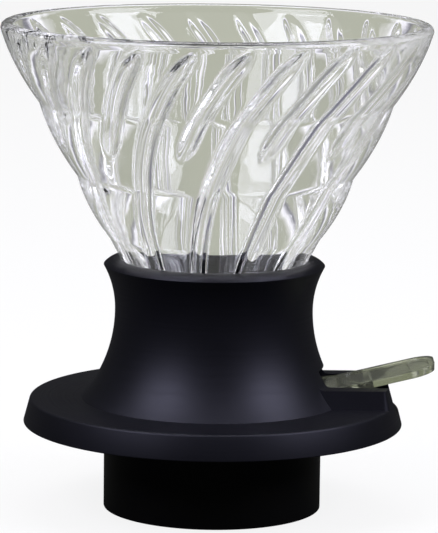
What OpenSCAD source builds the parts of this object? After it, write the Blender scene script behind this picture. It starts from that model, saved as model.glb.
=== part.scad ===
// Immersion coffee dripper: a ribbed glass cone in a waisted collar, with a ball valve worked by a side lever.
// Z is up, the origin is the centre of the skirt's foot, and the lever points along X.

/* [Glass cone] */
// Outer diameter of the mouth
mouth_d = 116; // [104:1:126]
// Outer diameter of the lower end
outlet_d = 28; // [26:0.5:30]
// Height from the lower end to the rim
glass_h = 86; // [80:0.5:94]
// Wall thickness, measured level
glass_wall = 3.6; // [3:0.1:4.4]
// Height of the plain foot below the tiers
glass_foot_h = 27.5; // [24:0.5:30]
// How many bulged tiers the outer wall has
tier_count = 3; // [2:1:5]
// How much shorter the lowest tier is than the others
tier_trim = 3; // [0:0.5:6]
// How far a tier bulges from its chord
tier_bulge = 1; // [0.3:0.1:1.6]

/* [Glass ribs] */
// How many ribs, every second one short
rib_count = 24; // [16:2:28]
// Width of a rib as an angle about the axis
rib_angle = 5.2; // [3:0.2:6.4]
// Height of a rib at its upper end
rib_h = 1.8; // [0.8:0.1:2.4]
// Height of a rib at the glass's lower end
rib_foot_h = 0.9; // [0.5:0.1:1.4]
// Turn about the axis from the lower end to the upper end
rib_turn = 38; // [0:1:60]
// How far the ribs' upper ends stay below the rim
rib_rim_gap = 2.2; // [2:0.1:5]
// Length of the short ribs
short_rib_h = 30; // [20:1:45]
// Where the long ribs start above the lower end
rib_start = 4; // [2:0.5:8]

/* [Collar and flange] */
// Height of the collar above the flange
collar_h = 36.6; // [33:0.2:42]
// Radius at the collar's upper edge
collar_top_r = 30; // [28.6:0.1:32]
// Radius at the waist
waist_r = 26.85; // [25.6:0.05:27.6]
// Height of the waist above the flange
waist_h = 24.4; // [21:0.2:27]
// Radius where the collar meets the flange
flare_r = 35.7; // [34.6:0.1:38]
// Rise of the lip from the collar's edge to the glass
lip_rise = 1.7; // [1:0.1:2.4]
// Width of the flat ring on top of the lip
lip_land = 0.9; // [0.5:0.1:1.4]
// How far the lip's slope is crowned
lip_crown = 0.4; // [0.2:0.05:0.7]
// How deep the glass sits in the collar
grip_h = 21.9; // [18:0.1:23]
// Thickness of the flange
flange_t = 6; // [5.6:0.1:8]
// Radius of the flange's upper edge
flange_top_r = 49.8; // [46:0.2:52]
// Radius of the flange's lower edge
flange_low_r = 51.6; // [50:0.2:55]
// Rounding of the flange's upper edge
flange_round = 0.7; // [0.3:0.1:1.2]
// Rounding of the flange's lower edge
flange_low_round = 0.2; // [0.1:0.05:0.8]

/* [Lever housing] */
// Width of the housing
housing_w = 32; // [28:0.5:36]
// Height of the housing above the flange
housing_h = 4.9; // [3.5:0.1:6]
// Draft of the housing's outer end
housing_draft = 0.6; // [0.2:0.1:1.2]
// Fillet between the housing's top and the collar
housing_fillet = 2; // [0.5:0.1:5]
// Height of the window in the collar above the flange
window_h = 9.2; // [8:0.2:12]

/* [Skirt and spout] */
// Outer radius of the skirt
skirt_r = 29.6; // [28:0.1:31]
// Height of the skirt below the flange
skirt_h = 24.1; // [18:0.1:30]
// Wall of the skirt
skirt_wall = 2.4; // [1.8:0.1:3.2]
// Thickness of the skirt's floor
floor_t = 3.2; // [2.4:0.1:4]
// Bore radius of the spout
spout_r = 7; // [5:0.25:8.5]
// Wall of the spout
spout_wall = 2; // [1.4:0.1:2.6]
// How far the spout stays above the foot
spout_gap = 6; // [3:0.5:10]

/* [Valve] */
// Radius of the ball
ball_r = 7; // [6:0.25:7.75]
// Radius of the hole that the ball closes
outlet_r = 4.2; // [3.6:0.1:4.6]
// Height of the seat ring
seat_h = 8; // [7:0.25:9]
// Length of the straight hole below the seat's cone
seat_throat = 1.5; // [1:0.1:2.2]
// Thickness of the web that carries the seat
web_t = 1.9; // [1.4:0.1:2.6]
// Width of the ledge that the seat stands on
seat_ledge = 4.8; // [3:0.2:6]
// Radius of the push nub on the lever
nub_r = 2; // [1.4:0.1:2.3]

/* [Lever] */
// Distance of the hinge from the axis
pivot_x = 16; // [14.5:0.25:17]
// Height of the hinge above the flange
pivot_h = 1.4; // [1:0.1:2]
// Radius of the hinge pin
pin_r = 1.5; // [1.2:0.1:1.8]
// Distance of the paddle's bend from the axis
bend_x = 33.7; // [32:0.2:36]
// Distance of the paddle's tip from the axis
tip_x = 60; // [55:0.5:66]
// Width of the paddle
paddle_w = 18.6; // [16:0.2:19.6]
// Thickness of the lever's plate
plate_t = 2; // [1.6:0.1:2.4]
// Tilt of the root, between the hinge and the bend
root_tilt = 7; // [5:0.25:9]
// Tilt of the paddle with the valve shut
paddle_tilt = 13.8; // [13:0.2:16]
// How far the lever turns to open the valve
lever_swing = 13; // [10:0.5:14]
// Corner radius of the paddle's tip
tip_round = 6; // [2:0.1:7.5]
// Depth of the thumb recess
recess_d = 0.4; // [0.2:0.05:0.7]
// Rim left round the thumb recess
recess_rim = 1.5; // [1:0.1:2.2]
// Height of the stop foot under the paddle
stop_h = 1.1; // [0.6:0.1:1.4]
// Width of the lever at its hinge
hub_w = 16; // [13:0.2:16.4]
// Width of the arm under the ball
arm_w = 6; // [4.4:0.2:7]
// Thickness of the arm under the ball
arm_t = 2.5; // [2:0.1:3]
// Thickness of each hinge ear
ear_t = 3; // [2.4:0.1:3.4]

/* [Fits] */
// Gap between the glass and its socket
glass_gap = 0.15; // [0.1:0.05:0.3]
// Gap between the ball and its seat
ball_gap = 0.12; // [0.05:0.01:0.25]
// Gap between a spigot or ring and its bore
plug_gap = 0.1; // [0.05:0.01:0.2]
// Gap between the lever's bore and the pin
pin_gap = 0.05; // [0.02:0.01:0.1]
// Gap between the pin and the ears that grip it
grip_gap = 0.02; // [0.01:0.005:0.04]
// Gap beside the lever, at the ears and in its channel
side_gap = 0.4; // [0.2:0.05:0.6]
// Gap left under the nub and the stop foot
rest_gap = 0.35; // [0.3:0.05:0.6]

/* [Hidden] */
$fn = 96;

// Cuts run this far past the faces that they open
past = 1;

// Heights, from the foot up
flange_z = skirt_h + flange_t;
collar_z = flange_z + collar_h;
lip_z = collar_z + lip_rise;
glass_z = lip_z - grip_h;
seat_z = glass_z - seat_h;
roof_z = seat_z - web_t;
pivot_z = flange_z + pivot_h;
waist_z = flange_z + waist_h;
window_z = flange_z + window_h;

// Glass: the outer wall's chord runs straight from the lower end to the rim
lip_r = glass_wall / 2;
rim_g = glass_h - lip_r;
outlet_out_r = outlet_d / 2;
slope = (mouth_d / 2 - outlet_out_r) / rim_g;
wall_segments = 8;
rib_top = glass_h - rib_rim_gap;
rib_round = 3.6;
rib_curve = 1.9;
rib_top_azimuth = -66;
rib_phase = rib_top_azimuth - rib_turn;
rib_pitch = 360 / rib_count;
rib_points = 4;
rib_ledge = 0.08;
lip_clear = 0.9;

function outer_r(g) = outlet_out_r + slope * g;
function inner_r(g) = outer_r(g) - glass_wall;
function socket_r(z) = outer_r(z - glass_z) + glass_gap;

// Points on an arc that bulges from the chord between two points
function bulge(a, b, rise, n) =
    let (half = norm(b - a) / 2, across = [b.y - a.y, a.x - b.x] / (2 * half),
         r = (half * half + rise * rise) / (2 * rise))
    [for (k = [1:n - 1])
        let (s = half * (2 * k / n - 1))
        (a + b) / 2 + (b - a) / 2 * (s / half) + across * (sqrt(r * r - s * s) - r + rise)];

// Points that round the corner b of the outline a, b, c
function round_corner(a, b, c, r, n = 5) =
    let (u = (a - b) / norm(a - b), v = (c - b) / norm(c - b), half = acos(u * v) / 2,
         p = b + u * r / tan(half), centre = b + (u + v) / norm(u + v) * r / sin(half),
         start = atan2(p.y - centre.y, p.x - centre.x), side = sign(u.y * v.x - u.x * v.y))
    [for (k = [0:n]) let (t = start + side * (180 - 2 * half) * k / n) centre + r * [cos(t), sin(t)]];

// Valve: the ball rests on a cone of 45 degrees
seat_cone_z = seat_z + seat_throat;
ball_z = seat_cone_z + sqrt(2) * (ball_r + ball_gap) - outlet_r;
seat_r = outlet_out_r - 2 * plug_gap;
nub_top_z = ball_z - ball_r - rest_gap;
nub_x = -0.8;
nub_taper = 1;

// Lever: its root rises from the hinge to the bend, and its paddle from there to the tip
bend_z = pivot_z + (bend_x - pivot_x) * tan(root_tilt);
hub_wall = 1.7;
hub_r = pin_r + hub_wall;
arm_rise = 1;
arm_top_z = pivot_z + arm_rise;
channel_w = paddle_w + 2 * side_gap;
function paddle_under(x) = bend_z + (x - bend_x) * tan(paddle_tilt) - plate_t / 2 / cos(paddle_tilt);
stop_x = 42.4;
stop_w = 2;
stop_low = paddle_under(stop_x) - stop_h;
stop_corner = [stop_x + stop_w / 2 - pivot_x, stop_low - pivot_z];
channel_z = pivot_z - stop_corner.x * sin(lever_swing) + stop_corner.y * cos(lever_swing) - rest_gap;

// Hinge ears, and the chamber that they stand in
ear_y = hub_w / 2 + side_gap / 2;
ear_wall = 1.5;
ear_half = pin_r + ear_wall;
chamber_r = norm([pivot_x + ear_half, ear_y + ear_t]) + side_gap;
spigot_step = 1;
spigot_r = skirt_r - spigot_step;
spigot_wall = 2.8;
rest_w = 2;
relief_h = 0.6;
relief_w = 1;
relief_r = skirt_r + relief_w;
shoulder_z = skirt_h + relief_h;

// Glass cone

function rib_end(x) = x <= 0 ? 0 : x >= 1 ? 1 : sqrt(x * (2 - x));

function rib_lift(g, short) =
    (rib_foot_h + (rib_h - rib_foot_h) * g / rib_top)
    * rib_end((rib_top - g) / rib_round)
    * rib_end((g - (short ? rib_top - short_rib_h : rib_start)) / rib_round);

// One level of the ribbed hollow: each rib has five points across it, and each valley one
function hollow_ring(g, z) =
    let (turn = rib_phase + rib_turn * pow(max(g, 0) / rib_top, rib_curve))
    [for (rib = [0:rib_count - 1])
        for (k = [0:rib_points + 1])
            let (x = 2 * k / rib_points - 1,
                 a = turn + rib * rib_pitch + (k > rib_points ? rib_pitch / 2 : x * rib_angle / 2),
                 lift = k > rib_points ? 0 : rib_lift(g, rib % 2 == 1) * (1 - x * x),
                 r = inner_r(g) - rib_ledge - lift)
            [r * cos(a), r * sin(a), z]];

// The hollow's levels are closer together where the ribs end
function hollow_levels() =
    let (short_foot = rib_top - short_rib_h, ends = 3, low = 9, high = 5)
    concat(
        [for (k = [0:low]) short_foot * k / low],
        [for (k = [1:ends]) short_foot + rib_round * k / ends],
        [for (k = [1:high]) short_foot + rib_round + (short_rib_h - 2 * rib_round) * k / high],
        [for (k = [1:ends]) rib_top - rib_round + rib_round * k / ends]);

module ribbed_hollow() {
    levels = hollow_levels();
    rings = concat(
        [hollow_ring(0, -past)],
        [for (g = levels) hollow_ring(g, g)],
        [hollow_ring(rim_g, rim_g)],
        [[for (p = hollow_ring(rim_g, rim_g + past)) [p.x * lip_clear, p.y * lip_clear, p.z]]]);
    across = len(rings[0]);
    top = len(rings) - 1;
    polyhedron(
        points = [for (ring = rings) each ring],
        faces = concat(
            [[for (c = [0:across - 1]) c]],
            [[for (c = [across - 1:-1:0]) top * across + c]],
            [for (level = [0:top - 1]) for (c = [0:across - 1])
                let (low = level * across, high = low + across, next = (c + 1) % across)
                each [[low + c, high + c, high + next], [low + c, high + next, low + next]]]));
}

module glass_outline() {
    tier_h = (rim_g - glass_foot_h + tier_trim) / tier_count;
    tier_feet = [for (t = [0:tier_count])
        let (g = glass_foot_h + t * tier_h - (t > 0 ? tier_trim : 0))
        [outer_r(g), g]];
    rim = [inner_r(rim_g) + lip_r, rim_g];
    polygon(concat(
        [[0, 0], [outlet_out_r, 0]],
        [for (t = [0:tier_count - 1])
            each concat([tier_feet[t]], bulge(tier_feet[t], tier_feet[t + 1], tier_bulge, wall_segments))],
        [for (k = [0:wall_segments]) let (t = 180 * k / wall_segments) rim + lip_r * [cos(t), sin(t)]],
        [[0, rim_g]]));
}

module glass_cone() {
    color("#c6ccbc", 0.6)
        translate([0, 0, glass_z])
            difference() {
                rotate_extrude() glass_outline();
                ribbed_hollow();
            }
}

// Base collar

// Radius of the circle that leaves the waist level and passes through the given point
function waist_cut_r(r, z) = (pow(z - waist_z, 2) + pow(r - waist_r, 2)) / (2 * (r - waist_r));

// That circle, on one side of the waist's narrowest level
module waist_cut(r, z, up) {
    rise = abs(z - waist_z);
    cut_r = waist_cut_r(r, z);
    intersection() {
        translate([waist_r + cut_r, waist_z]) circle(cut_r, $fn = 360);
        translate([0, up ? waist_z : z]) square([r + past, rise]);
    }
}

module collar_outline() {
    low_edge = [flange_low_r, skirt_h];
    top_edge = [flange_top_r, flange_z];
    lip_edge = [collar_top_r, collar_z];
    land_edge = [socket_r(lip_z) + lip_land, lip_z];
    crown = bulge(lip_edge, land_edge, lip_crown, wall_segments);
    difference() {
        polygon(concat(
            [[socket_r(glass_z), glass_z], [socket_r(lip_z), lip_z], land_edge],
            [for (k = [len(crown) - 1:-1:0]) crown[k]],
            [lip_edge, [flare_r, collar_z], [flare_r, flange_z]],
            round_corner([flare_r, flange_z], top_edge, low_edge, flange_round),
            round_corner(top_edge, low_edge, [relief_r, skirt_h], flange_low_round),
            [[relief_r, skirt_h], [relief_r, shoulder_z], [spigot_r + plug_gap, shoulder_z]],
            [[spigot_r + plug_gap, flange_z], [chamber_r, flange_z], [chamber_r, roof_z]],
            [[seat_r - seat_ledge, roof_z], [seat_r - seat_ledge, seat_z], [seat_r + plug_gap, seat_z]],
            [[seat_r + plug_gap, glass_z]]));
        waist_cut(collar_top_r, collar_z, true);
        waist_cut(flare_r, flange_z, false);
        translate([collar_top_r, waist_z]) square([flare_r, collar_z - waist_z]);
    }
}

module base_collar() {
    color("#1c1c22")
        difference() {
            union() {
                rotate_extrude() collar_outline();
                lever_housing();
                fillet_strip();
            }
            translate([pivot_x + hub_r, -channel_w / 2, channel_z])
                cube([flange_low_r, channel_w, window_z - channel_z]);
        }
}

// Raised block on the flange, whose outer end follows the flange's edge
module lever_housing() {
    difference() {
        intersection() {
            translate([0, -housing_w / 2, flange_z - past])
                cube([flange_top_r, housing_w, housing_h + past]);
            translate([0, 0, flange_z - past])
                cylinder(h = housing_h + past, r1 = flange_top_r + past * housing_draft / housing_h,
                    r2 = flange_top_r - housing_draft);
        }
        translate([0, 0, flange_z - 2 * past]) cylinder(h = housing_h + 3 * past, r = spigot_r + past);
    }
}

// Section of the fillet: a circle that touches the housing's top and the waist's circle from within
module fillet_outline() {
    top = flange_z + housing_h;
    cut_r = waist_cut_r(flare_r, flange_z);
    waist_centre = [waist_r + cut_r, waist_z];
    drop = waist_z - top - housing_fillet;
    centre = [waist_centre.x - sqrt(pow(cut_r - housing_fillet, 2) - drop * drop), top + housing_fillet];
    touch = waist_centre + (centre - waist_centre) * cut_r / (cut_r - housing_fillet);
    difference() {
        polygon([touch, [centre.x, top], [centre.x, top - past], [waist_r, top - past], [waist_r, touch.y]]);
        translate(centre) circle(housing_fillet);
    }
}

module fillet_strip() {
    top = flange_z + housing_h;
    intersection() {
        rotate_extrude() fillet_outline();
        translate([0, -housing_w / 2, top - past]) cube([flange_top_r, housing_w, housing_fillet + past]);
    }
}

// Lower skirt

module skirt_outline() {
    floor_z = shoulder_z - floor_t;
    spout_out_r = spout_r + spout_wall;
    inner = skirt_r - skirt_wall;
    polygon([
        [inner, 0], [skirt_r, 0], [skirt_r, shoulder_z], [spigot_r, shoulder_z],
        [spigot_r, flange_z - plug_gap], [spigot_r - spigot_wall, flange_z - plug_gap],
        [spigot_r - spigot_wall, shoulder_z], [spout_out_r + floor_t, shoulder_z],
        [spout_r, floor_z], [spout_r, spout_gap], [spout_out_r, spout_gap], [spout_out_r, floor_z],
        [inner, floor_z]]);
}

module hinge_ear() {
    difference() {
        union() {
            translate([pivot_x - ear_half, 0, shoulder_z - past])
                cube([2 * ear_half, ear_t, pivot_z - shoulder_z + past]);
            translate([pivot_x, 0, pivot_z]) rotate([-90, 0, 0]) cylinder(h = ear_t, r = ear_half);
        }
        translate([pivot_x, -past, pivot_z]) rotate([-90, 0, 0])
            cylinder(h = ear_t + 2 * past, r = pin_r + grip_gap);
    }
}

module lower_skirt() {
    color("#101012") {
        difference() {
            rotate_extrude() skirt_outline();
            translate([0, -channel_w / 2, channel_z]) cube([skirt_r, channel_w, flange_z]);
        }
        for (side = [0, 1]) mirror([0, side, 0]) translate([0, ear_y, 0]) hinge_ear();
        arm_rest();
    }
}

// Post that the lever's arm settles on with the valve shut
module arm_rest() {
    low = shoulder_z - floor_t / 2;
    translate([pivot_x - ear_half - rest_w, -arm_w / 2, low])
        cube([rest_w, arm_w, arm_top_z - arm_t - rest_gap - low]);
}

// Valve

module valve_seat() {
    color("#3a3a40")
        translate([0, 0, seat_z])
            rotate_extrude()
                polygon([
                    [outlet_r, 0], [seat_r, 0], [seat_r, seat_h],
                    [outlet_r + seat_h - seat_throat, seat_h], [outlet_r, seat_throat]]);
}

module valve_ball() {
    color("silver") translate([0, 0, ball_z]) sphere(r = ball_r);
}

// Lever

module rounded_end(length, width, r) {
    square([length - r, width]);
    translate([0, r]) square([length, width - 2 * r]);
    for (y = [r, width - r]) translate([length - r, y]) circle(r);
}

// Side view of the root and the paddle, with the stop foot under them
module lever_side() {
    hinge = [pivot_x, pivot_z];
    bend = [bend_x, bend_z];
    beyond = [tip_x + plate_t, bend_z + (tip_x + plate_t - bend_x) * tan(paddle_tilt)];
    root_half = [-sin(root_tilt), cos(root_tilt)] * plate_t / 2;
    paddle_half = [-sin(paddle_tilt), cos(paddle_tilt)] * plate_t / 2;
    mean_half = (root_half + paddle_half) / 2;
    bend_half = mean_half * (root_half * root_half) / (mean_half * mean_half);
    foot_in = stop_x - stop_w / 2;
    foot_out = stop_x + stop_w / 2;
    polygon([
        hinge + root_half, bend + bend_half, beyond + paddle_half, beyond - paddle_half,
        [foot_out, paddle_under(foot_out)], [foot_out, stop_low], [foot_in, stop_low],
        [foot_in, paddle_under(foot_in)], bend - bend_half, hinge - root_half]);
}

module thumb_recess() {
    inset_l = (tip_x - bend_x) / cos(paddle_tilt) - 2 * recess_rim;
    inset_w = paddle_w - 2 * recess_rim;
    inset_r = tip_round - recess_rim;
    translate([bend_x, 0, bend_z]) rotate([0, -paddle_tilt, 0])
        translate([recess_rim, -inset_w / 2, plate_t / 2 - recess_d])
            linear_extrude(recess_d + past)
                intersection() {
                    rounded_end(inset_l, inset_w, inset_r);
                    translate([inset_l, 0]) mirror([1, 0]) rounded_end(inset_l, inset_w, inset_r);
                }
}

// Arm that reaches under the ball, with the nub that pushes it up
module push_arm() {
    arm_z = arm_top_z - arm_t;
    translate([nub_x, -arm_w / 2, arm_z]) cube([pivot_x - nub_x, arm_w, arm_t]);
    translate([nub_x, 0, arm_z]) cylinder(h = arm_t, r = arm_w / 2);
    translate([nub_x, 0, arm_z]) cylinder(h = nub_top_z - nub_taper - arm_z, r = nub_r);
    translate([nub_x, 0, nub_top_z - nub_taper]) cylinder(h = nub_taper, r1 = nub_r, r2 = nub_r / 2);
}

module switch_lever() {
    wide = paddle_w + 2 * past;
    color("#a8ac92")
        difference() {
            union() {
                intersection() {
                    translate([0, wide / 2, 0]) rotate([90, 0, 0]) linear_extrude(wide) lever_side();
                    translate([pivot_x, -paddle_w / 2, 0])
                        linear_extrude(glass_z) rounded_end(tip_x - pivot_x, paddle_w, tip_round);
                }
                translate([pivot_x, paddle_w / 2, pivot_z]) rotate([90, 0, 0])
                    cylinder(h = paddle_w, r = hub_r);
                push_arm();
            }
            thumb_recess();
            translate([pivot_x, wide / 2, pivot_z]) rotate([90, 0, 0])
                cylinder(h = wide, r = pin_r + pin_gap);
            for (side = [0, 1])
                mirror([0, side, 0]) translate([pivot_x - hub_r - past, hub_w / 2, pivot_z - hub_w / 2])
                    cube([ear_half + hub_r + past + side_gap, hub_w, hub_w]);
        }
}

module hinge_pin() {
    length = 2 * (ear_y + ear_t);
    color("silver")
        translate([pivot_x, length / 2, pivot_z]) rotate([90, 0, 0]) cylinder(h = length, r = pin_r);
}

glass_cone();
base_collar();
lower_skirt();
valve_seat();
valve_ball();
switch_lever();
hinge_pin();
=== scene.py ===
# Immersion coffee dripper: a ribbed glass cone in a waisted black collar, with a clear side lever
import bmesh
import bpy
import math
from mathutils import Euler, Matrix, Vector


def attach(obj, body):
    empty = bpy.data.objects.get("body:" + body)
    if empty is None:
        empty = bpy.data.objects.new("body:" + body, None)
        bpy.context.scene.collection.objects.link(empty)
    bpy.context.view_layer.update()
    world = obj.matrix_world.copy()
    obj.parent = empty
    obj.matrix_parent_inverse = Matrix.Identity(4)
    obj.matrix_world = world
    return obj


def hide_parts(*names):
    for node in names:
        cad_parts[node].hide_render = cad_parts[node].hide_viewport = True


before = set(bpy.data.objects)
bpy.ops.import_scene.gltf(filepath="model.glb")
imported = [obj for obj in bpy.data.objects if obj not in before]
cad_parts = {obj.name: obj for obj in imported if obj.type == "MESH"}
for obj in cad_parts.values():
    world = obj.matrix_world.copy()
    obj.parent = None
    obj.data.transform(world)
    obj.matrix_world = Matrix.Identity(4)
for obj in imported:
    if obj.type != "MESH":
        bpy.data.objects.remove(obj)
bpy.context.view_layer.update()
mm = 0.001
print("frame loaded:", ", ".join(sorted(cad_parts)))


# A socket that takes part in sums; the maths adds its nodes by itself
class Wire:
    def __init__(self, tree, socket=None):
        self.tree = tree
        self.socket = socket

    def add(self, kind, settings=None, sockets=None, output=0):
        node = self.tree.nodes.new(kind)
        for name, value in (settings or {}).items():
            if name == "stops":
                ramp = node.color_ramp.elements
                while len(ramp) < len(value):
                    ramp.new(0.5)
                for stop, (place, colour) in zip(ramp, value):
                    stop.position = place
                    stop.color = (*colour, 1)
            else:
                setattr(node, name, value)
        for name, value in (sockets or {}).items():
            if isinstance(value, Wire):
                self.tree.links.new(value.socket, node.inputs[name])
            else:
                node.inputs[name].default_value = value
        return Wire(self.tree, node.outputs[output]) if node.outputs else None

    def sum(self, operation, first, second):
        return self.add("ShaderNodeMath", {"operation": operation}, {0: first, 1: second})

    def __add__(self, other): return self.sum("ADD", self, other)
    def __radd__(self, other): return self.sum("ADD", other, self)
    def __sub__(self, other): return self.sum("SUBTRACT", self, other)
    def __rsub__(self, other): return self.sum("SUBTRACT", other, self)
    def __mul__(self, other): return self.sum("MULTIPLY", self, other)
    def __rmul__(self, other): return self.sum("MULTIPLY", other, self)

    def blend(self, low, high):  # low where this is 0, high where it is 1
        return self.add("ShaderNodeMix", {"data_type": "RGBA"}, {0: self, 6: low, 7: high}, output=2)


# Materials: a noise is given as (scale, detail), a skin as (strength of the bump, depth in mm)

noiseMean = 0.5


def startMaterial(name):
    material = bpy.data.materials.new(name)
    material.use_nodes = True
    material.node_tree.nodes.clear()
    root = Wire(material.node_tree)
    return material, root, root.add("ShaderNodeTexCoord", output="Object")


def endMaterial(root, sockets):
    shader = root.add("ShaderNodeBsdfPrincipled", None, sockets)
    root.add("ShaderNodeOutputMaterial", None, {"Surface": shader})


def vectorMath(root, operation, sockets, output=0):
    return root.add("ShaderNodeVectorMath", {"operation": operation}, sockets, output)


def noise(root, spot, kind):
    scale, detail = kind
    return root.add("ShaderNodeTexNoise", None, {"Vector": spot, "Scale": scale, "Detail": detail})


def bump(root, height, skin):
    strength, depth = skin
    return root.add("ShaderNodeBump", None, {"Height": height, "Strength": strength, "Distance": depth * mm})


def swing(wire, amount):  # a noise's swing to both sides of its mean
    return (wire - noiseMean) * amount


clearGlass = {"colour": (0.96, 0.96, 0.96, 1), "ior": 1.5, "ripple": (90, 2), "skin": (0.12, 0.4)}


def makeClearGlass(g):
    material, root, spot = startMaterial("clearGlass")
    skin = bump(root, noise(root, spot, g["ripple"]), g["skin"])
    endMaterial(root, {"Base Color": g["colour"], "Roughness": 0.0, "IOR": g["ior"],
                       "Transmission Weight": 1.0, "Normal": skin})
    return material


blackCollar = {
    "colour": (0.0015, 0.0015, 0.0025, 1), "worn": (0.004, 0.004, 0.0065, 1),
    "lineWear": 0.6, "cloudWear": 0.4, "rough": 0.45, "cloudRough": 0.1, "lineRough": 0.12,
    "gloss": 0.32, "sheen": (0.8, 0.8, 1, 1),
    "cloud": (55, 3), "grain": (2600, 2), "linesPerMetre": 1500, "lineDetail": 2, "waver": 3,
    "lineHeight": 0.7, "grainHeight": 0.3, "skin": (0.35, 0.02),
}


def makeBlackCollar(c):  # fine lines run round it, as if it had been turned
    material, root, spot = startMaterial("blackCollar")
    radius = vectorMath(root, "LENGTH", {0: vectorMath(root, "MULTIPLY", {0: spot, 1: (1, 1, 0)})}, "Value")
    height = root.add("ShaderNodeSeparateXYZ", None, {0: spot}, output="Z")
    cloud = noise(root, spot, c["cloud"])
    place = (radius + height) * c["linesPerMetre"] + cloud * c["waver"]
    lines = root.add("ShaderNodeTexNoise", {"noise_dimensions": "1D"},
                     {"W": place, "Scale": 1, "Detail": c["lineDetail"]})
    relief = lines * c["lineHeight"] + noise(root, spot, c["grain"]) * c["grainHeight"]
    wear = lines * c["lineWear"] + cloud * c["cloudWear"]
    endMaterial(root, {"Base Color": wear.blend(c["colour"], c["worn"]),
                       "Roughness": c["rough"] + swing(cloud, c["cloudRough"]) + swing(lines, c["lineRough"]),
                       "Specular IOR Level": c["gloss"], "Specular Tint": c["sheen"],
                       "Normal": bump(root, relief, c["skin"])})
    return material


blackSkirt = {"colour": (0.002, 0.002, 0.002, 1), "dust": (0.004, 0.004, 0.004, 1), "rough": 0.45,
              "cloudRough": 0.12, "gloss": 0.15, "cloud": (70, 3), "grain": (3000, 2), "skin": (0.3, 0.02)}


def makeBlackSkirt(s):
    material, root, spot = startMaterial("blackSkirt")
    cloud = noise(root, spot, s["cloud"])
    skin = bump(root, noise(root, spot, s["grain"]), s["skin"])
    endMaterial(root, {"Base Color": cloud.blend(s["colour"], s["dust"]),
                       "Roughness": s["rough"] + swing(cloud, s["cloudRough"]),
                       "Specular IOR Level": s["gloss"], "Normal": skin})
    return material


clearPlastic = {"colour": (0.45, 0.47, 0.355, 1), "ior": 1.49, "rough": 0.01, "flowRough": 0.03,
                "clear": 0.88, "flow": (140, 1), "skin": (0.02, 0.2)}


def makeClearPlastic(p):
    material, root, spot = startMaterial("clearPlastic")
    flow = noise(root, spot, p["flow"])
    endMaterial(root, {"Base Color": p["colour"], "Roughness": p["rough"] + flow * p["flowRough"],
                       "IOR": p["ior"], "Transmission Weight": p["clear"],
                       "Normal": bump(root, flow, p["skin"])})
    return material


seatRubber = {"colour": (0.05, 0.05, 0.055, 1), "bloom": (0.09, 0.09, 0.095, 1), "rough": 0.6,
              "cloudRough": 0.2, "cloud": (160, 4), "skin": (0.2, 0.05)}


def makeSeatRubber(s):
    material, root, spot = startMaterial("seatRubber")
    cloud = noise(root, spot, s["cloud"])
    endMaterial(root, {"Base Color": cloud.blend(s["colour"], s["bloom"]),
                       "Roughness": s["rough"] + swing(cloud, s["cloudRough"]),
                       "Normal": bump(root, cloud, s["skin"])})
    return material


ballSteel = {"colour": (0.62, 0.62, 0.63, 1), "rough": 0.08, "skin": (0.05, 0.01)}
pinSteel = {"colour": (0.55, 0.55, 0.56, 1), "rough": 0.3, "skin": (0.2, 0.01)}
drawnSteel = {"stretch": (900, 40, 900), "marks": (1, 3)}


def makeSteel(name, s):  # with marks drawn out along the pin
    material, root, spot = startMaterial(name)
    drawn = root.add("ShaderNodeMapping", None, {"Vector": spot, "Scale": drawnSteel["stretch"]})
    marks = noise(root, drawn, drawnSteel["marks"])
    endMaterial(root, {"Base Color": s["colour"], "Metallic": 1.0,
                       "Roughness": s["rough"] + swing(marks, s["rough"]),
                       "Normal": bump(root, marks, s["skin"])})
    return material


finishes = {
    "clearGlass": makeClearGlass(clearGlass),
    "blackCollar": makeBlackCollar(blackCollar),
    "blackSkirt": makeBlackSkirt(blackSkirt),
    "clearPlastic": makeClearPlastic(clearPlastic),
    "seatRubber": makeSeatRubber(seatRubber),
    "ballSteel": makeSteel("ballSteel", ballSteel),
    "pinSteel": makeSteel("pinSteel", pinSteel),
}
print("materials made:", ", ".join(finishes))


# Helpers that turn a bmesh into a piece

weld = 1e-6         # metres: points closer than this are one
sliver = 0.02 * mm  # a cut leaves points that all but coincide, up to this far apart
flatAngle = 0.5     # degrees: faces that meet at less are one flat face
sharpAngle = 30     # degrees: edges that turn more are shaded sharp
easedAngle = 35     # degrees: edges that turn more are eased


def makePiece(name, bm, finish):
    bmesh.ops.remove_doubles(bm, verts=bm.verts, dist=weld)
    bmesh.ops.recalc_face_normals(bm, faces=bm.faces)
    mesh = bpy.data.meshes.new(name)
    bm.to_mesh(mesh)
    bm.free()
    mesh.materials.append(finishes[finish])
    piece = bpy.data.objects.new(name, mesh)
    bpy.context.scene.collection.objects.link(piece)
    return piece


def standFor(piece, node, body):
    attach(piece, body)
    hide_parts(node)


def smooth(piece, degrees):
    piece.data.polygons.foreach_set("use_smooth", [True] * len(piece.data.polygons))
    piece.data.set_sharp_from_angle(angle=math.radians(degrees))


def spunLoop(points, columns):  # a closed section of (radius, height) pairs in mm, turned about Z
    bm = bmesh.new()
    ring = [bm.verts.new((r * mm, 0, z * mm)) for r, z in points]
    edges = [bm.edges.new((ring[k - 1], ring[k])) for k in range(len(ring))]
    bmesh.ops.spin(bm, geom=ring + edges, cent=(0, 0, 0), axis=(0, 0, 1), dvec=(0, 0, 0),
                   angle=math.tau, steps=columns, use_merge=True)
    return bm


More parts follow.
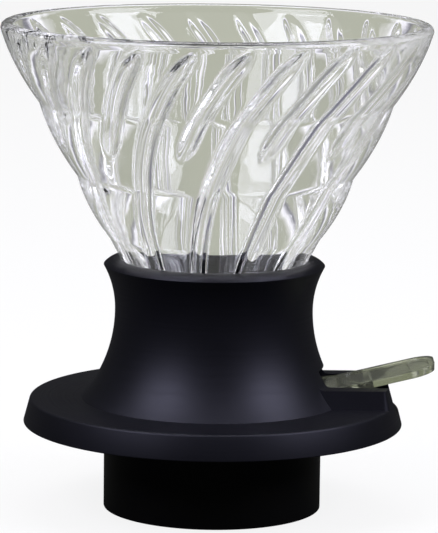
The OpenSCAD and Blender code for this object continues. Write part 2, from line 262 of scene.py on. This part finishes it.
def cut(piece, tool, operation):
    modifier = piece.modifiers.new("cut", "BOOLEAN")
    modifier.operation = operation
    modifier.object = tool
    modifier.solver = "EXACT"
    bpy.context.view_layer.update()
    whole = piece.evaluated_get(bpy.context.evaluated_depsgraph_get())
    mesh = bpy.data.meshes.new_from_object(whole)
    bm = bmesh.new()
    bm.from_mesh(mesh)
    bmesh.ops.remove_doubles(bm, verts=bm.verts, dist=sliver)
    bmesh.ops.dissolve_degenerate(bm, edges=bm.edges, dist=sliver)
    bm.to_mesh(mesh)
    bm.free()
    piece.modifiers.clear()
    piece.data = mesh
    bpy.data.objects.remove(tool)


def easeEdges(piece, width):
    smooth(piece, sharpAngle)
    modifier = piece.modifiers.new("edges", "BEVEL")
    modifier.width = width * mm
    modifier.segments = 2
    modifier.limit_method = "ANGLE"
    modifier.angle_limit = math.radians(easedAngle)
    modifier.use_clamp_overlap = True
    modifier.harden_normals = True


def copyOfNode(node, name, finish):  # the CAD solid's own shape, with its flat faces joined up
    bm = bmesh.new()
    bm.from_mesh(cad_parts[node].data)
    bmesh.ops.remove_doubles(bm, verts=bm.verts, dist=weld)
    bmesh.ops.dissolve_limit(bm, angle_limit=math.radians(flatAngle), verts=bm.verts, edges=bm.edges)
    return makePiece(name, bm, finish)


def arc(centre, radius, start, end, count):
    turns = [math.radians(start + (end - start) * k / count) for k in range(count + 1)]
    return [(centre[0] + radius * math.cos(turn), centre[1] + radius * math.sin(turn)) for turn in turns]


def bulge(start, end, rise, count):  # an arc that stands out by rise on the right of the line from start to end
    a, b = Vector(start), Vector(end)
    half = (b - a).length / 2
    radius = (half * half + rise * rise) / (2 * rise)
    across = Vector((b.y - a.y, a.x - b.x)) / (2 * half)
    middle = (a + b) / 2
    made = []
    for k in range(count + 1):
        s = half * (2 * k / count - 1)
        stand = math.sqrt(radius * radius - s * s) - radius + rise
        made.append(tuple(middle + (b - a) * (s / (2 * half)) + across * stand))
    return made


def roundCorner(before, corner, after, radius, count=6):
    b = Vector(corner)
    u, v = (Vector(before) - b).normalized(), (Vector(after) - b).normalized()
    half = u.angle(v) / 2
    centre = b + (u + v).normalized() * radius / math.sin(half)
    first, last = b + u * radius / math.tan(half) - centre, b + v * radius / math.tan(half) - centre
    return [tuple(centre + first.slerp(last, k / count) * radius) for k in range(count + 1)]


# Glass cone: pairs are at the foot and at the top

glassCone = {
    "foot": 46.5, "height": 86, "wall": 3.6, "mouthR": 58, "footR": 14,   # mm
    "plainFoot": 27.5, "tiers": 3, "tierTrim": 3, "bulge": 1.13,
    "ribs": 24, "ribWide": (4.2, 6.2), "ribHigh": (2.1, 1.5), "ribSoft": 1.3,
    "ribStart": 4, "rimGap": 2.2, "shortRib": 30, "tip": 6,
    "turn": 38, "turnCurve": 1.9, "topAzimuth": -66, "sharp": 60,   # degrees, but for the curve
    "columns": 480, "crowd": 0.45, "slack": 0.01,
    "footRows": 12, "tierRows": 16, "innerRows": 112, "lipRows": 12,
}


def makeGlassCone(g):
    lip = g["wall"] / 2
    rim = g["height"] - lip
    slope = (g["mouthR"] - g["footR"]) / rim
    ribTop = g["height"] - g["rimGap"]
    tier = (rim - g["plainFoot"] + g["tierTrim"]) / g["tiers"]
    tierFeet = [g["plainFoot"]] + [rim - tier * k for k in range(g["tiers"] - 1, -1, -1)]

    def chordR(h):
        return g["footR"] + slope * h

    def innerR(h):
        return chordR(h) - g["wall"]

    inner = [rim * (1 - k / g["innerRows"]) for k in range(1, g["innerRows"] + 1)]
    section = [(chordR(h), h) for h in (g["plainFoot"] * k / g["footRows"] for k in range(g["footRows"]))]
    for low, high in zip(tierFeet, tierFeet[1:]):
        for k in range(g["tierRows"]):
            along = k / g["tierRows"]
            h = low + (high - low) * along
            section.append((chordR(h) + g["bulge"] * 4 * along * (1 - along), h))
    section += arc((innerR(rim) + lip, rim), lip, 0, 180, g["lipRows"])
    section += [(innerR(h), h) for h in inner]
    bm = spunLoop([(r, h + g["foot"]) for r, h in section], g["columns"])

    # Every column is turned along the spiral and crowded towards its rib, and the ribs stand in from the wall
    pitch = math.tau / g["ribs"]
    for v in bm.verts:
        h = v.co.z / mm - g["foot"]
        r = math.hypot(v.co.x, v.co.y) / mm
        place = math.atan2(v.co.y, v.co.x) / pitch
        rib = round(place)
        across = place - rib
        aside = pitch * (across - g["crowd"] * math.sin(math.tau * across) / math.tau)
        turn = math.radians(g["topAzimuth"] - g["turn"] + g["turn"] * (max(h, 0) / ribTop) ** g["turnCurve"])
        if r < innerR(h) + g["slack"] and h < ribTop:
            low = ribTop - g["shortRib"] if rib % 2 else g["ribStart"]
            end = max(0, 1 - (ribTop - h) / g["tip"], 1 - (h - low) / g["tip"])
            wide, high = (pair[0] + (pair[1] - pair[0]) * h / ribTop for pair in (g["ribWide"], g["ribHigh"]))
            inside = 1 - (aside * 2 * r / wide) ** 2 - end * end
            if inside > 0 and h > low:
                r -= high * inside ** g["ribSoft"]
        angle = turn + rib * pitch + aside
        v.co.x = r * mm * math.cos(angle)
        v.co.y = r * mm * math.sin(angle)
    piece = makePiece("glassCone", bm, "clearGlass")
    smooth(piece, g["sharp"])
    standFor(piece, "glass_cone", "base")


makeGlassCone(glassCone)
print("glass cone made")


# Collar with its flange and the lever's housing

baseCollar = {
    "lipR": 25.594, "lipZ": 68.4, "lipLand": 0.9, "crown": 0.4,   # mm
    "edgeR": 30.0, "edgeZ": 66.7, "edgeRound": 0.15,
    "waistR": 26.85, "waistZ": 54.5, "flareR": 35.7, "flangeZ": 30.1,
    "flangeTopR": 49.8, "flangeLowR": 51.6, "flangeLowZ": 23.4, "flangeRound": 0.7, "flangeLowRound": 0.2,
    "bores": [(30.6, 24.7), (28.7, 30.1), (22.455, 36.6), (9.0, 38.5), (13.9, 46.5)], "coneFootR": 14.15,
    "housingBack": 20, "housingInR": 29.5, "housingFoot": 29, "housingTop": 35.0,
    "housingW": 32, "housingRound": 2, "fillet": 2, "seam": 0.03,
    "channelX": 19.2, "channelW": 19.4, "channelZ": 27.111, "windowZ": 39.3, "bevel": 0.35,
    "columns": 256, "waistRows": 24, "crownRows": 8, "filletRows": 8,
    "cornerCuts": 7, "cornerEnd": 20,   # degrees: the last cut faces this far from straight out
}


def boreSteps(c):  # from below, each bore by its radius and the height where it ends
    steps, z = [], c["flangeLowZ"]
    for radius, top in c["bores"]:
        steps += [(radius, z), (radius, top)]
        z = top
    return steps + [(c["coneFootR"], z)]


def waistArc(c, endR, endZ):
    rise, out = abs(endZ - c["waistZ"]), endR - c["waistR"]
    radius = (rise * rise + out * out) / (2 * out)
    sweep = math.degrees(math.asin(rise / radius))
    sign = 1 if endZ > c["waistZ"] else -1
    return arc((c["waistR"] + radius, c["waistZ"]), radius, 180, 180 - sign * sweep, c["waistRows"])


def filletArc(c):  # joins the housing's top to the waist's circle
    top, rise, out = c["housingTop"], c["waistZ"] - c["flangeZ"], c["flareR"] - c["waistR"]
    radius = (rise * rise + out * out) / (2 * out)
    waist = Vector((c["waistR"] + radius, c["waistZ"]))
    drop = c["waistZ"] - top - c["fillet"]
    centre = Vector((waist.x - math.sqrt((radius - c["fillet"]) ** 2 - drop * drop), top + c["fillet"]))
    touch = (centre - waist).normalized()
    return arc(centre, c["fillet"], 270, math.degrees(math.atan2(touch.y, touch.x)) % 360, c["filletRows"])


def collarSection(c):
    upper = waistArc(c, c["edgeR"], c["edgeZ"])
    lower = waistArc(c, c["flareR"], c["flangeZ"])
    land, edge = (c["lipR"] + c["lipLand"], c["lipZ"]), (c["edgeR"], c["edgeZ"])
    top, low = (c["flangeTopR"], c["flangeZ"]), (c["flangeLowR"], c["flangeLowZ"])
    crown = bulge(edge, land, c["crown"], c["crownRows"])
    bores = boreSteps(c)
    section = [(c["lipR"], c["lipZ"])] + crown[:0:-1]
    section += roundCorner(crown[1], edge, upper[-2], c["edgeRound"]) + upper[-2::-1] + lower[1:]
    section += roundCorner(lower[-1], top, low, c["flangeRound"])
    return section + roundCorner(top, low, bores[0], c["flangeLowRound"]) + bores


def makeHousing(c):  # a turned block, trimmed by planes; its walls slope as the flange's side does
    lean = (c["flangeLowR"] - c["flangeTopR"]) / (c["flangeZ"] - c["flangeLowZ"])
    sides = [(c["flangeTopR"] + (c["flangeZ"] - z) * lean - c["seam"], z)
             for z in (c["housingFoot"], c["housingTop"])]
    fillet = filletArc(c)
    section = [(c["housingInR"], c["housingFoot"])] + sides + fillet + [(c["housingInR"], fillet[-1][1])]
    block = spunLoop(section, c["columns"])
    turn = c["housingRound"]
    cornerY = c["housingW"] / 2 - turn
    cornerX = math.sqrt((c["flangeTopR"] - turn) ** 2 - cornerY ** 2)
    planes = [((c["housingBack"], 0, 0), (-1, 0, 0))]
    for side in (-1, 1):  # the flat wall, then its rounded corner
        for along, across in arc((0, 0), 1, 90, c["cornerEnd"], c["cornerCuts"]):
            spot = (cornerX + along * turn, side * (cornerY + across * turn), c["flangeZ"])
            planes.append((spot, (along, side * across, lean)))
    for spot, way in planes:
        geom = block.verts[:] + block.edges[:] + block.faces[:]
        made = bmesh.ops.bisect_plane(block, geom=geom, plane_co=Vector(spot) * mm, plane_no=way,
                                      clear_outer=True)
        rims = [e for e in made["geom_cut"] if isinstance(e, bmesh.types.BMEdge)]
        bmesh.ops.holes_fill(block, edges=rims, sides=0)
    return makePiece("housing", block, "blackCollar")


def makeChannel(c):  # the lever's way out, from the window to past the flange's edge
    length, height = c["flangeLowR"], c["windowZ"] - c["channelZ"]
    middle = (c["channelX"] + length / 2, 0, (c["windowZ"] + c["channelZ"]) / 2)
    block = bmesh.new()
    bmesh.ops.create_cube(block, size=1)
    bmesh.ops.scale(block, verts=block.verts, vec=(length * mm, c["channelW"] * mm, height * mm))
    bmesh.ops.translate(block, verts=block.verts, vec=Vector(middle) * mm)
    return makePiece("channel", block, "blackCollar")


def makeBaseCollar(c):
    piece = makePiece("baseCollar", spunLoop(collarSection(c), c["columns"]), "blackCollar")
    cut(piece, makeHousing(c), "UNION")
    cut(piece, makeChannel(c), "DIFFERENCE")
    easeEdges(piece, c["bevel"])
    standFor(piece, "base_collar", "base")


makeBaseCollar(baseCollar)
print("collar made")


# Skirt, seat and lever keep the solids' shapes, with edges eased by so many mm

easedCopies = {
    "lowerSkirt": {"node": "lower_skirt", "body": "base", "slot": "black_skirt",
                   "finish": "blackSkirt", "edge": 0.3},
    "valveSeat": {"node": "valve_seat", "body": "base", "slot": "seat_rubber",
                  "finish": "seatRubber", "edge": 0.25},
    "switchLever": {"node": "switch_lever", "body": "lever", "slot": "clear_plastic",
                    "finish": "clearPlastic", "edge": 0.35},
}
for name, row in easedCopies.items():
    piece = copyOfNode(row["node"], name, row["finish"])
    easeEdges(piece, row["edge"])
    standFor(piece, row["node"], row["body"])
for node, finish in {"valve_ball": "ballSteel", "hinge_pin": "pinSteel"}.items():
    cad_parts[node].data.materials.clear()
    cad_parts[node].data.materials.append(finishes[finish])
print("skirt, seat, lever, ball and pin dressed")


# Camera at the photograph's place: metres, degrees, and mm for lens and sensor

camera = {"spot": (0, -0.908, 0.2162), "pitch": 9.38, "roll": 0.7, "lens": 229.44, "sensor": 36,
          "shift": (0.0086, -0.0009), "clip": (0.05, 30)}


def makeCamera(c):
    data = bpy.data.cameras.new("camera")
    data.lens = c["lens"]
    data.sensor_width = c["sensor"]
    data.shift_x, data.shift_y = c["shift"]
    data.clip_start, data.clip_end = c["clip"]
    made = bpy.data.objects.new("camera", data)
    tilt = Euler((math.radians(90 - c["pitch"]), 0, 0)).to_matrix()
    turn = tilt @ Matrix.Rotation(math.radians(c["roll"]), 3, "Z")
    made.matrix_world = Matrix.Translation(c["spot"]) @ turn.to_4x4()
    bpy.context.scene.collection.objects.link(made)
    bpy.context.scene.camera = made


makeCamera(camera)


# Soft boxes that face one spot: azimuth from the camera's side towards +X, and elevation, in degrees

lampTarget = (0, 0, 0.07)
lamps = {
    "leftBox": {"azimuth": -56, "elevation": 41, "away": 1.1, "size": (0.7, 0.6),
                "watts": 9, "colour": (0.87, 0.87, 1)},
    "rightBox": {"azimuth": 66, "elevation": 37, "away": 1.1, "size": (0.7, 0.6),
                 "watts": 9, "colour": (0.87, 0.87, 1)},
    "topBox": {"azimuth": 170, "elevation": 72, "away": 1.2, "size": (0.8, 0.5),
               "watts": 3, "colour": (1, 1, 1)},
}


def makeLamp(name, row):
    data = bpy.data.lights.new(name, "AREA")
    data.shape = "RECTANGLE"
    data.size, data.size_y = row["size"]
    data.energy = row["watts"]
    data.color = row["colour"]
    made = bpy.data.objects.new(name, data)
    azimuth, elevation = math.radians(row["azimuth"]), math.radians(row["elevation"])
    level = math.cos(elevation)
    way = Vector((math.sin(azimuth) * level, -math.cos(azimuth) * level, math.sin(elevation)))
    turn = way.to_track_quat("Z", "Y").to_matrix().to_4x4()
    made.matrix_world = Matrix.Translation(way * row["away"] + Vector(lampTarget)) @ turn
    bpy.context.scene.collection.objects.link(made)


for name, row in lamps.items():
    makeLamp(name, row)
print("camera and lamps set")


# White floor and world; through the glass they show a sage surround with white and grey bands.
# Bands are in degrees from straight behind, each with its half width, and the shade lies at the camera's side

backdrop = {
    "floorHalf": 6, "matte": (0.04, 0.04, 0.038, 1), "paper": (0.9, 0.9, 0.9, 1), "seen": 0.86,
    "plain": (1, 1, 1, 1), "dim": (0.03, 0.031, 0.029, 1), "glossy": 0.06,
    "ceiling": (0.9, 0.9, 0.95, 1), "ceilingFrom": (0.6, 0.95),
    "middle": (0, 0, 0.1), "ahead": (0, 0.9985, -0.055), "upright": (1, 1, 0.45),
    "sage": (0.50, 0.515, 0.43), "white": (1.38, 1.37, 1.47), "grey": (0.2, 0.195, 0.26),
    "bands": [(9.5, 1.6), (18, 1.7), (28, 2), (41, 3), (59, 4.5)],
    "shade": [(80, "sage"), (108, "grey"), (122, "grey"), (150, "sage")],
}


def bandStops(b):
    stops = [(0, b["sage"])]
    for angle, half in b["bands"]:
        stops += [(angle - half, b["sage"]), (angle, b["white"]),
                  (angle + half, b["grey"]), (angle + 2 * half, b["sage"])]
    stops += [(angle, b[tone]) for angle, tone in b["shade"]]
    return [(angle / 180, colour) for angle, colour in stops]


def around(root, way, b):  # colours by the angle from straight behind, 0, to straight in front, 1
    ray = vectorMath(root, "NORMALIZE", {0: vectorMath(root, "MULTIPLY", {0: way, 1: b["upright"]})})
    along = vectorMath(root, "DOT_PRODUCT", {0: ray, 1: b["ahead"]}, "Value")
    angle = root.sum("ARCCOSINE", along, 0) * (1 / math.pi)
    return root.add("ShaderNodeValToRGB", {"stops": bandStops(b)}, {"Fac": angle})


# Whether a ray is the camera's, and how much of the surround other rays see: all of it inside or behind glass
def rayKinds(root, glossy):
    isCamera, isGlossy, isThrough, depth = (root.add("ShaderNodeLightPath", output=kind) for kind in (
        "Is Camera Ray", "Is Glossy Ray", "Is Transmission Ray", "Transmission Depth"))
    inGlass = root.sum("MINIMUM", depth, 1)
    return isCamera, isThrough + isGlossy * (glossy + inGlass * (1 - glossy))


def makeFloor(b):
    bm = bmesh.new()
    bmesh.ops.create_grid(bm, x_segments=1, y_segments=1, size=b["floorHalf"])
    material, root, spot = startMaterial("floorPaper")
    finishes["floorPaper"] = material
    way = vectorMath(root, "SUBTRACT", {0: spot, 1: b["middle"]})
    isCamera, mirrored = rayKinds(root, b["glossy"])
    seen = isCamera * b["seen"] + mirrored
    matte = root.add("ShaderNodeBsdfDiffuse", None, {"Color": isCamera.blend(b["matte"], b["paper"])})
    shown = isCamera.blend(around(root, way, b), b["plain"])
    glow = root.add("ShaderNodeEmission", None, {"Color": shown, "Strength": 1.0})
    both = root.add("ShaderNodeMixShader", None, {0: seen, 1: matte, 2: glow})
    root.add("ShaderNodeOutputMaterial", None, {"Surface": both})
    floor = makePiece("floor", bm, "floorPaper")


def makeWorld(b):
    world = bpy.data.worlds.new("studio")
    world.use_nodes = True
    world.node_tree.nodes.clear()
    bpy.context.scene.world = world
    root = Wire(world.node_tree)
    isCamera, mirrored = rayKinds(root, b["glossy"])
    way = root.add("ShaderNodeTexCoord", output="Generated")
    up = root.add("ShaderNodeSeparateXYZ", None, {0: way}, output="Z")
    low, high = b["ceilingFrom"]
    ceiling = root.add("ShaderNodeMapRange", {"interpolation_type": "SMOOTHSTEP"},
                       {"Value": up, "From Min": low, "From Max": high})
    walls = mirrored.blend(b["dim"], around(root, way, b))
    shown = isCamera.blend(ceiling.blend(walls, b["ceiling"]), b["plain"])
    sky = root.add("ShaderNodeBackground", None, {"Color": shown, "Strength": 1.0})
    root.add("ShaderNodeOutputWorld", None, {"Surface": sky})


makeFloor(backdrop)
makeWorld(backdrop)
bpy.context.scene.view_settings.view_transform = "Standard"
# Light stays long in thick glass
bounces = {"max_bounces": 32, "glossy_bounces": 24, "transmission_bounces": 32}
for name, count in bounces.items():
    setattr(bpy.context.scene.cycles, name, count)
print("floor and world made")
